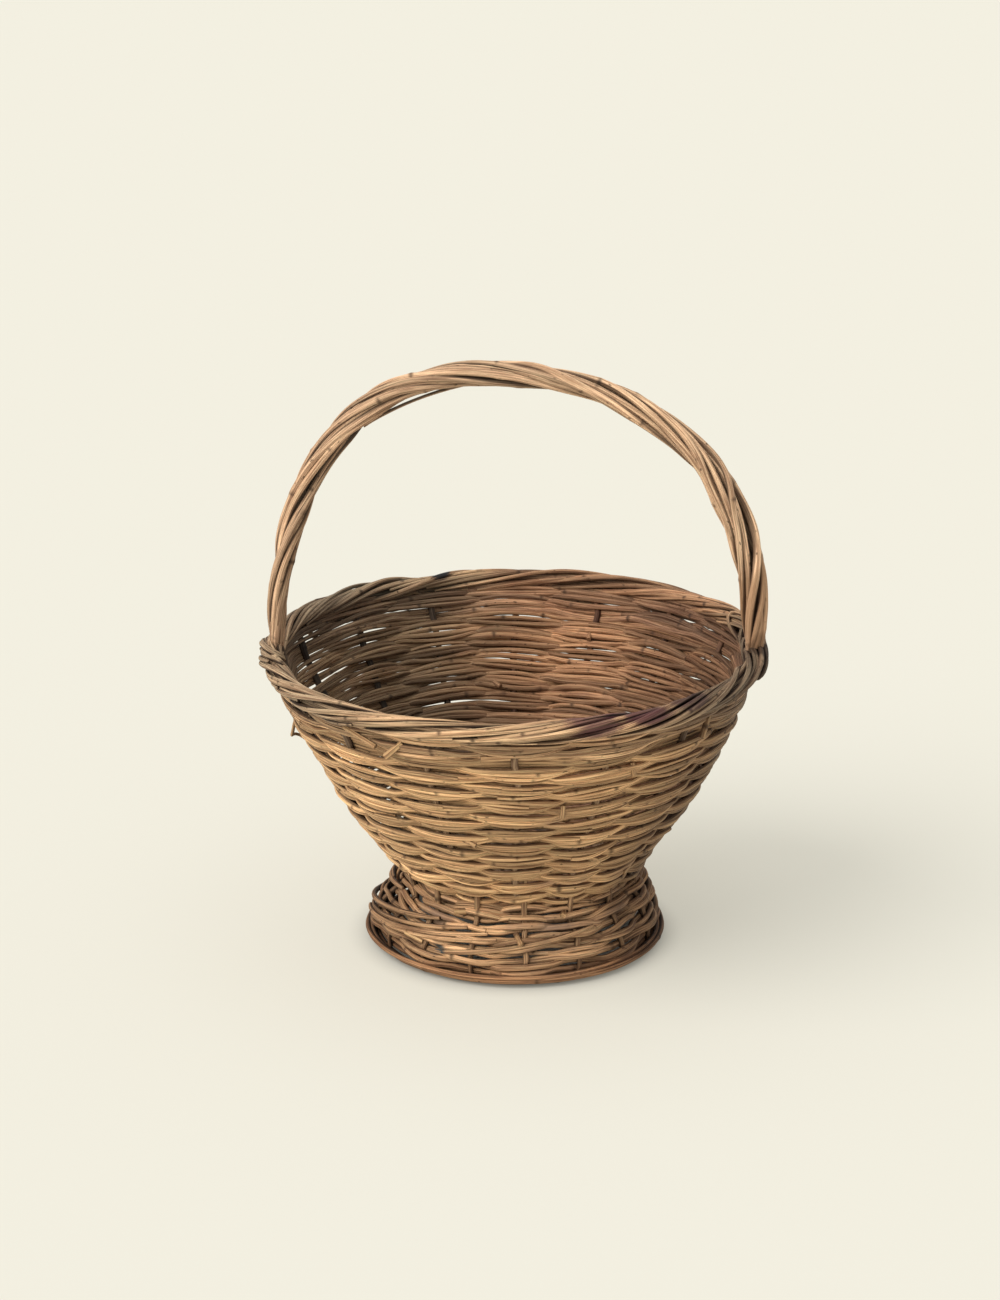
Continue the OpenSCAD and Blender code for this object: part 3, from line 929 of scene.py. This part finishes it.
def bind_foot(material):
    """The hoop that the foot stands on, and one outside and one inside it."""
    hoop_rods("foot_rest_rods", "foot_rest_hoop", 2, 1.0, 1.35, 430, material)
    hoop_rods("foot_outer_rods", "foot_outer_hoop", 2, 1.1, 1.3, 431, material)
    hoop_rods("foot_inner_rods", "foot_inner_hoop", 2, 0.9, 1.2, 432, material)


# ---------------------------------------------------------------- handle

ARCH_FOOT_Z = 158.0
ARCH_LEAN = 22.0
ROPE_START_Z = 149.0


def arch(count=121):
    """The rope's middle line, from the right root over the crown to the left root."""
    t = np.linspace(0, math.pi, count)
    power = np.where(t < math.pi / 2, 2.64, 1.93)
    w = np.clip(np.sin(t), 0, 1) ** (2 / power)
    x = np.sign(np.cos(t)) * np.abs(np.cos(t)) ** (2 / power)
    z = ARCH_FOOT_Z + (ROPE_TOP - ARCH_FOOT_Z) * w
    middle = np.stack([BORDER_R * x - ARCH_LEAN * w * w, -4.0 * np.sign(x) * (1 - w), z], -1)
    right = [(BORDER_R, -4.0, z_low) for z_low in np.linspace(ROPE_START_Z, ARCH_FOOT_Z, 4)[:-1]]
    left = [(-BORDER_R, 4.0, z_low) for z_low in np.linspace(ARCH_FOOT_Z, ROPE_START_Z, 4)[1:]]
    return np.concatenate([right, middle, left])


def even_path(points, step):
    """The same line with points a step apart, and each point's share of the whole length."""
    gone = np.concatenate([[0], np.cumsum(np.linalg.norm(np.diff(points, axis=0), axis=1))])
    places = np.linspace(0, gone[-1], int(gone[-1] / step) + 1)
    return np.stack([np.interp(places, gone, column) for column in points.T], -1), places / gone[-1]


ROPE_SHARE = (0.0, 0.06, 0.20, 0.34, 0.50, 0.66, 0.80, 0.93, 1.0)
ROPE_RADIUS = (6.0, 7.4, 8.2, 6.9, 6.3, 6.5, 7.0, 5.0, 3.8)
STRAND_PHASES = (0, 55, 112, 180, 236, 292)
STRAND_TURNS = 2.5
# for a rod: how far it springs out, where along the handle, and over what share of it
BULGES = {2: (3.4, 0.215, 0.035), 4: (2.4, 0.70, 0.03)}
INNER_RODS = 5
SPRUNG_FROM = 0.545
SPRUNG_SHARE = 0.155
BOW_TURN = math.radians(-2.05)

handle_path, handle_share = even_path(arch(), 5.0)
rope_r = np.interp(handle_share, ROPE_SHARE, ROPE_RADIUS)


def out_of_arch():
    """At each point of the handle, the direction out of the arch."""
    along = np.gradient(handle_path, axis=0)
    along /= np.linalg.norm(along, axis=1, keepdims=True)
    return np.stack([along[:, 2], np.zeros(len(along)), -along[:, 0]], -1)


def beside_handle(turn, out):
    """Points beside the handle's middle line, and the directions away from it."""
    across = np.array([0.0, 1.0, 0.0])
    away = np.cos(turn)[:, None] * out_of_arch() + np.sin(turn)[:, None] * across
    return handle_path + out[:, None] * away, away


def twist_handle(material):
    """Six rods twisted round the bow."""
    for k, phase in enumerate(STRAND_PHASES):
        rods = Rods(500 + k)
        rod_r = rods.rng.uniform(1.8, 2.3)
        turn = math.radians(phase) + TURN * STRAND_TURNS * handle_share
        turn = turn + wander(rods.rng, handle_share * 5, 0.35)
        out = rope_r - rod_r + wander(rods.rng, handle_share * 6, 0.5)
        if k in BULGES:
            height, middle, width = BULGES[k]
            out = out + height * hump(handle_share, middle, width)
        strand, away = beside_handle(turn, out)
        narrowing = 1 - 0.18 * handle_share if k % 2 else 0.82 + 0.18 * handle_share
        rods.add(strand, taper_ends(len(strand), rod_r * narrowing, 5), settled=False, outward=away)
        make_piece(f"handle_rod_{k + 1}", rods, material, "handle_willow", [f"handle_strand_{k + 1}"],
                   Seed=120.0 + k, Sides=12)


def fill_handle(material):
    """Rods that fill the gaps between the bow and the twisted rods."""
    rods = Rods(512)
    for k in range(INNER_RODS):
        turn = TURN * (k / INNER_RODS + STRAND_TURNS * handle_share) + 0.4
        turn = turn + wander(rods.rng, handle_share * 5, 0.3)
        path, away = beside_handle(turn, (0.42 + 0.1 * (k % 2)) * rope_r)
        rods.add(path[1:-1], 1.7, 0.45, settled=False, outward=0.8 * away[1:-1])
    make_piece("handle_inner_rods", rods, material, "handle_willow", [], Seed=128.0)


def spring_rod(material):
    """One thin rod that has come loose under the crown."""
    rods = Rods(515)
    part = (handle_share > SPRUNG_FROM) & (handle_share < SPRUNG_FROM + SPRUNG_SHARE)
    t = (handle_share[part] - SPRUNG_FROM) / SPRUNG_SHARE
    gap = rope_r[part] - 1.6 + 3.4 * np.sin(math.pi * t) ** 0.8
    outward = out_of_arch()[part]
    path = handle_path[part] - gap[:, None] * outward
    rods.add(path, 0.85, 0.75, settled=False, outward=-outward)
    make_piece("sprung_handle_rod", rods, material, "handle_willow", [], Seed=129.0, Sides=8)


def bend_bow(material):
    """The rod in the middle of the handle, whose two ends go down into the weave."""
    rods = Rods(520)
    leg_rows = np.linspace(15.0, 21.0, 7)
    right = side.at(BOW_TURN, leg_rows)
    left = side.at(math.pi + BOW_TURN, leg_rows)[::-1]
    rods.add(np.concatenate([right, handle_path[2:-2], left]), 2.1, settled=False)
    make_piece("handle_bow_rod", rods, material, "handle_willow", ["handle_bow"], Seed=130.0)


LASHING_DEGREES = (-7.4, -5.8, 4.6)


def lash_root(name, side_angle, seed, material):
    """Rods wrapped round the border on both sides of the handle's root."""
    rods = Rods(seed)
    rng = rods.rng
    for offset in LASHING_DEGREES:
        roll = np.linspace(0, TURN * 1.04, 30) + rng.uniform(0, TURN)
        loop_r = 5.5 + 0.4 * np.sin(roll * 2 + rng.uniform(0, TURN))
        angle = side_angle + math.radians(offset) + 0.16 * np.sin(roll - 0.6) + 0.012 * roll
        loop, away = round_border(angle, roll, loop_r)
        rods.add(loop, taper_ends(len(loop), 1.15, 3), outward=away)
    make_piece(f"root_lashing_{name}", rods, material, "rim_willow", [f"handle_lashing_{name}"], Seed=140.0)


# ---------------------------------------------------------------- stubs and loose ends

STUBS = (
    # wall, angle in degrees, row, start and end as (along, up, out) in millimetres, radius
    (side, 240, 20.4, (6, 2.5, 1.0), (-2.5, -4.5, 5.2), 1.6),
    (side, 234, 20.8, (-13, 4.0, 2.6), (5, -2.0, 4.6), 1.3),
    (side, 264, 20.1, (9, 0.0, 1.5), (-4, 1.6, 4.6), 1.4),
    (side, 321, 20.3, (3, 4.0, 1.0), (-3.5, -4.0, 5.2), 1.5),
    (side, 300, 17.6, (0, 2.0, 0.5), (0.8, -3.5, 3.8), 1.2),
    (side, 283, 13.2, (0, 2.5, 0.5), (-0.5, -3.0, 3.6), 1.2),
    (side, 255, 9.1, (-4, 0.5, 1.0), (4, -1.0, 4.0), 1.2),
    (side, 296, 6.2, (-3, 0.0, 1.0), (3.5, -1.5, 4.0), 1.2),
    (side, 30, 19.5, (4, 1.0, 1.0), (-4, -1.5, 4.4), 1.4),
    (side, 105, 16.0, (-4, 0.5, 1.0), (4, -1.0, 4.2), 1.3),
    (side, 150, 20.4, (4, 2.0, 1.0), (-4, -2.0, 4.6), 1.4),
    (side, 68, 17.5, (0, 2.0, -1.0), (-1, -2.5, -4.4), 1.3),
    (side, 96, 12.5, (2, 2.0, -1.0), (-2, -1.5, -4.4), 1.2),
    (foot, 271, 2.5, (-1, 3.0, 1.0), (1.5, -3.0, 5.0), 1.4),
    (foot, 292, 4.6, (2, 2.5, 1.5), (-1, -3.0, 5.4), 1.4),
    (foot, 244, 4.4, (4, 1.5, 1.5), (-3, -1.5, 5.4), 1.5),
    (foot, 225, 1.2, (5, 0.0, 1.5), (-5, 1.5, 4.6), 1.3),
)


def stub_point(wall, angle, row, place):
    """A point on or beside a wall, some millimetres from where a row is at an angle."""
    along, up, out = place
    radius = float(np.polyval(wall.radius, row))
    return wall.at(angle + along / radius, row + up / wall.pitch, out)


def add_loose_ends(material):
    """Cut rod ends that stand out of the weave, and one thin rod that has sprung out as a loop."""
    rods = Rods(600)
    for wall, degrees, row, start, end, radius in STUBS:
        angle = math.radians(degrees)
        first = stub_point(wall, angle, row, start)
        last = stub_point(wall, angle, row, end)
        rods.add([first + (last - first) * t for t in (0, 0.33, 0.66, 1)], radius, 0.25)
    make_piece("stub_ends", rods, material, "side_willow", [], Seed=150.0)
    loop = Rods(610)
    t = np.linspace(0, 1, 15)
    angle = math.radians(184) + 0.07 * np.sin(t * math.pi * 2)
    loop.add(side.at(angle, 16.5 - 2.8 * t, 1.5 + 6.5 * np.sin(t * math.pi) ** 0.8), 0.8, 0.1)
    make_piece("loose_loop", loop, material, "side_willow", [], Seed=151.0, Sides=8)


# ---------------------------------------------------------------- build

ROD_TREE = rod_tree()

# Painted shade and light by place on each part: a tint, where it begins and is complete as a share of the
# way to the side, and the same from front to back in metres. Tints below 1 darken as painted shade, and ones
# above 1 lighten as painted light.
SIDE_PAINTED_SHADE = (((0.50, 0.48, 0.47), (0.38, 0.86), None),
             ((0.76, 0.78, 0.82), (0.75, 0.98), None))
RIM_PAINTED_SHADE = (((0.34, 0.36, 0.40), (0.36, 0.80), (0.055, 0.015)),
            ((0.60, 0.64, 0.70), (-0.40, -0.80), None),
            ((0.56, 0.475, 0.46), (-0.24, 0.0), (0.0, 0.07)),
            ((0.52, 0.54, 0.57), (0.0, -0.40), (0.0, 0.07)))
WALE_PAINTED_SHADE = (((0.50, 0.49, 0.50), (0.36, 0.80), None),
             ((0.8, 0.8, 0.8), (-0.40, -0.80), None))
FOOT_PAINTED_SHADE = (((0.42, 0.39, 0.37), (0.40, 0.88), None),
             ((0.48, 0.45, 0.43), (-0.47, -0.94), None))
# painted light on the handle's right and painted shade on its left
HANDLE_PAINTED_LIGHT_AND_SHADE = (((1.28, 1.29, 1.30), (0.6, 1.0), None),
               ((0.90, 0.88, 0.87), (-0.65, -1.0), None))

# Painted shade on parts low down: a tint, and the heights in metres where it begins and is complete.
STAKE_LOW_SHADE = ((0.40, 0.40, 0.42), (0.146, 0.136))
FOOT_LOW_SHADE = ((0.60, 0.52, 0.48), (0.015, 0.005))

# Painted shade: how much darker skin is that faces into the bowl or into the foot.
BOWL_INSIDE_SHADE = (0.66, 0.575, 0.60)
FOOT_INSIDE_SHADE = (0.30, 0.24, 0.21)

SIDE_WILLOW = willow("side willow", (0.95, 0.585, 0.295), (0.35, 0.175, 0.08), (0.27, 0.165, 0.105), 0.15,
                     inside=BOWL_INSIDE_SHADE, shading_by_place=SIDE_PAINTED_SHADE)
RIM_WILLOW = willow("rim willow", (0.92, 0.60, 0.34), (0.27, 0.14, 0.072), (0.47, 0.285, 0.165), 0.10,
                    crevice=0.92, both_sides=False, shading_by_place=RIM_PAINTED_SHADE)
WALE_WILLOW = willow("wale willow", (0.90, 0.56, 0.30), (0.29, 0.145, 0.072), (0.38, 0.225, 0.13), 0.12,
                     inside=BOWL_INSIDE_SHADE, crevice=0.85, shading_by_place=WALE_PAINTED_SHADE)
STAKE_WILLOW = willow("stake willow", (0.90, 0.57, 0.32), (0.36, 0.19, 0.10), (0.42, 0.26, 0.155), 0.2,
                      0.65, 0.25, BOWL_INSIDE_SHADE, 0.5, shading_by_place=RIM_PAINTED_SHADE, low_shade=STAKE_LOW_SHADE)
BASE_WILLOW = willow("base willow", (0.30, 0.20, 0.12), (0.14, 0.085, 0.05), (0.12, 0.09, 0.07), 0.5,
                     0.75, 0.2, crevice=0.0)
FOOT_WILLOW = willow("foot willow", (0.90, 0.54, 0.285), (0.27, 0.135, 0.068), (0.20, 0.13, 0.09), 0.25,
                     0.6, 0.28, FOOT_INSIDE_SHADE, shading_by_place=FOOT_PAINTED_SHADE, low_shade=FOOT_LOW_SHADE)
HANDLE_WILLOW = willow("handle willow", (0.90, 0.59, 0.37), (0.37, 0.21, 0.122), (0.42, 0.28, 0.19), 0.12,
                       crevice=0.75, both_sides=False, shading_by_place=HANDLE_PAINTED_LIGHT_AND_SHADE)

weave_side(SIDE_WILLOW)
weave_wale(WALE_WILLOW)
lay_spokes(STAKE_WILLOW)
fill_border(RIM_WILLOW)
weave_base(BASE_WILLOW)
stake_foot(FOOT_WILLOW)
weave_foot(FOOT_WILLOW)
bind_foot(FOOT_WILLOW)
twist_handle(HANDLE_WILLOW)
fill_handle(HANDLE_WILLOW)
spring_rod(HANDLE_WILLOW)
bend_bow(STAKE_WILLOW)
lash_root("right", 0.0, 540, RIM_WILLOW)
lash_root("left", math.pi, 541, RIM_WILLOW)
add_loose_ends(SIDE_WILLOW)


# ---------------------------------------------------------------- floor, light and camera

FLOOR_SIZE = 14.0
FLOOR_COLOUR = (0.38, 0.38, 0.355, 1)
FLOOR_GLOW = (0.396, 0.381, 0.322, 1)


def add_floor():
    """Pale paper that glows, a painted light that washes out shadows on it, everywhere but under the basket,
    where the glow fades out into a painted contact shadow.
    """
    corners = [(-FLOOR_SIZE, -FLOOR_SIZE, 0), (FLOOR_SIZE, -FLOOR_SIZE, 0),
               (FLOOR_SIZE, FLOOR_SIZE, 0), (-FLOOR_SIZE, FLOOR_SIZE, 0)]
    mesh = bpy.data.meshes.new("floor")
    mesh.from_pydata(corners, [], [(0, 1, 2, 3)])
    floor = bpy.data.objects.new("floor", mesh)
    bpy.context.scene.collection.objects.link(floor)
    material = bpy.data.materials.new("pale paper")
    material.use_nodes = True
    tree = material.node_tree
    shader = tree.nodes["Principled BSDF"]
    shader.inputs["Base Color"].default_value = FLOOR_COLOUR
    shader.inputs["Emission Color"].default_value = FLOOR_GLOW
    shader.inputs["Roughness"].default_value = 0.95
    shader.inputs["Specular IOR Level"].default_value = 0.0
    place = add_node(tree, "ShaderNodeTexCoord").outputs["Object"]
    away = add_node(tree, "ShaderNodeVectorMath", {0: place}, operation="LENGTH").outputs["Value"]
    # The glow, a painted light, fades out near the basket into a painted contact shadow.
    tree.links.new(add_ramp(tree, away, 0.060, 0.088), shader.inputs["Emission Strength"])
    mesh.materials.append(material)


def add_sun(name, direction, strength, spread, colour):
    """A soft distant light that shines along a direction."""
    light = bpy.data.lights.new(name, "SUN")
    light.energy = strength
    light.angle = math.radians(spread)
    light.color = colour
    lamp = bpy.data.objects.new(name, light)
    bpy.context.scene.collection.objects.link(lamp)
    lamp.rotation_euler = Vector(direction).to_track_quat("-Z", "Y").to_euler()


def add_world():
    """Soft light from all round."""
    world = bpy.data.worlds.new("room")
    world.use_nodes = True
    sky = world.node_tree.nodes["Background"]
    sky.inputs["Color"].default_value = (0.90, 0.88, 0.83, 1)
    sky.inputs["Strength"].default_value = 0.70
    bpy.context.scene.world = world


CAMERA_RISE = math.radians(18.33)
CAMERA_AWAY = 1.6
CAMERA_AIM = (-0.0077, 0.0, 0.1505)
CAMERA_LENS = 88.9


def add_camera():
    camera = bpy.data.cameras.new("camera")
    camera.lens = CAMERA_LENS
    camera.sensor_width = 36.0
    holder = bpy.data.objects.new("camera", camera)
    bpy.context.scene.collection.objects.link(holder)
    holder.location = (CAMERA_AIM[0], -CAMERA_AWAY * math.cos(CAMERA_RISE),
                       CAMERA_AIM[2] + CAMERA_AWAY * math.sin(CAMERA_RISE))
    holder.rotation_euler = (math.pi / 2 - CAMERA_RISE, 0, 0)
    bpy.context.scene.camera = holder


add_floor()
add_world()
add_sun("key light", (0.85, 0.5, -0.85), 2.45, 50, (1.0, 0.96, 0.90))
add_sun("top light", (0.25, 0.1, -1.0), 0.6, 90, (1.0, 0.98, 0.95))
add_camera()
bpy.context.scene.view_settings.view_transform = "Standard"
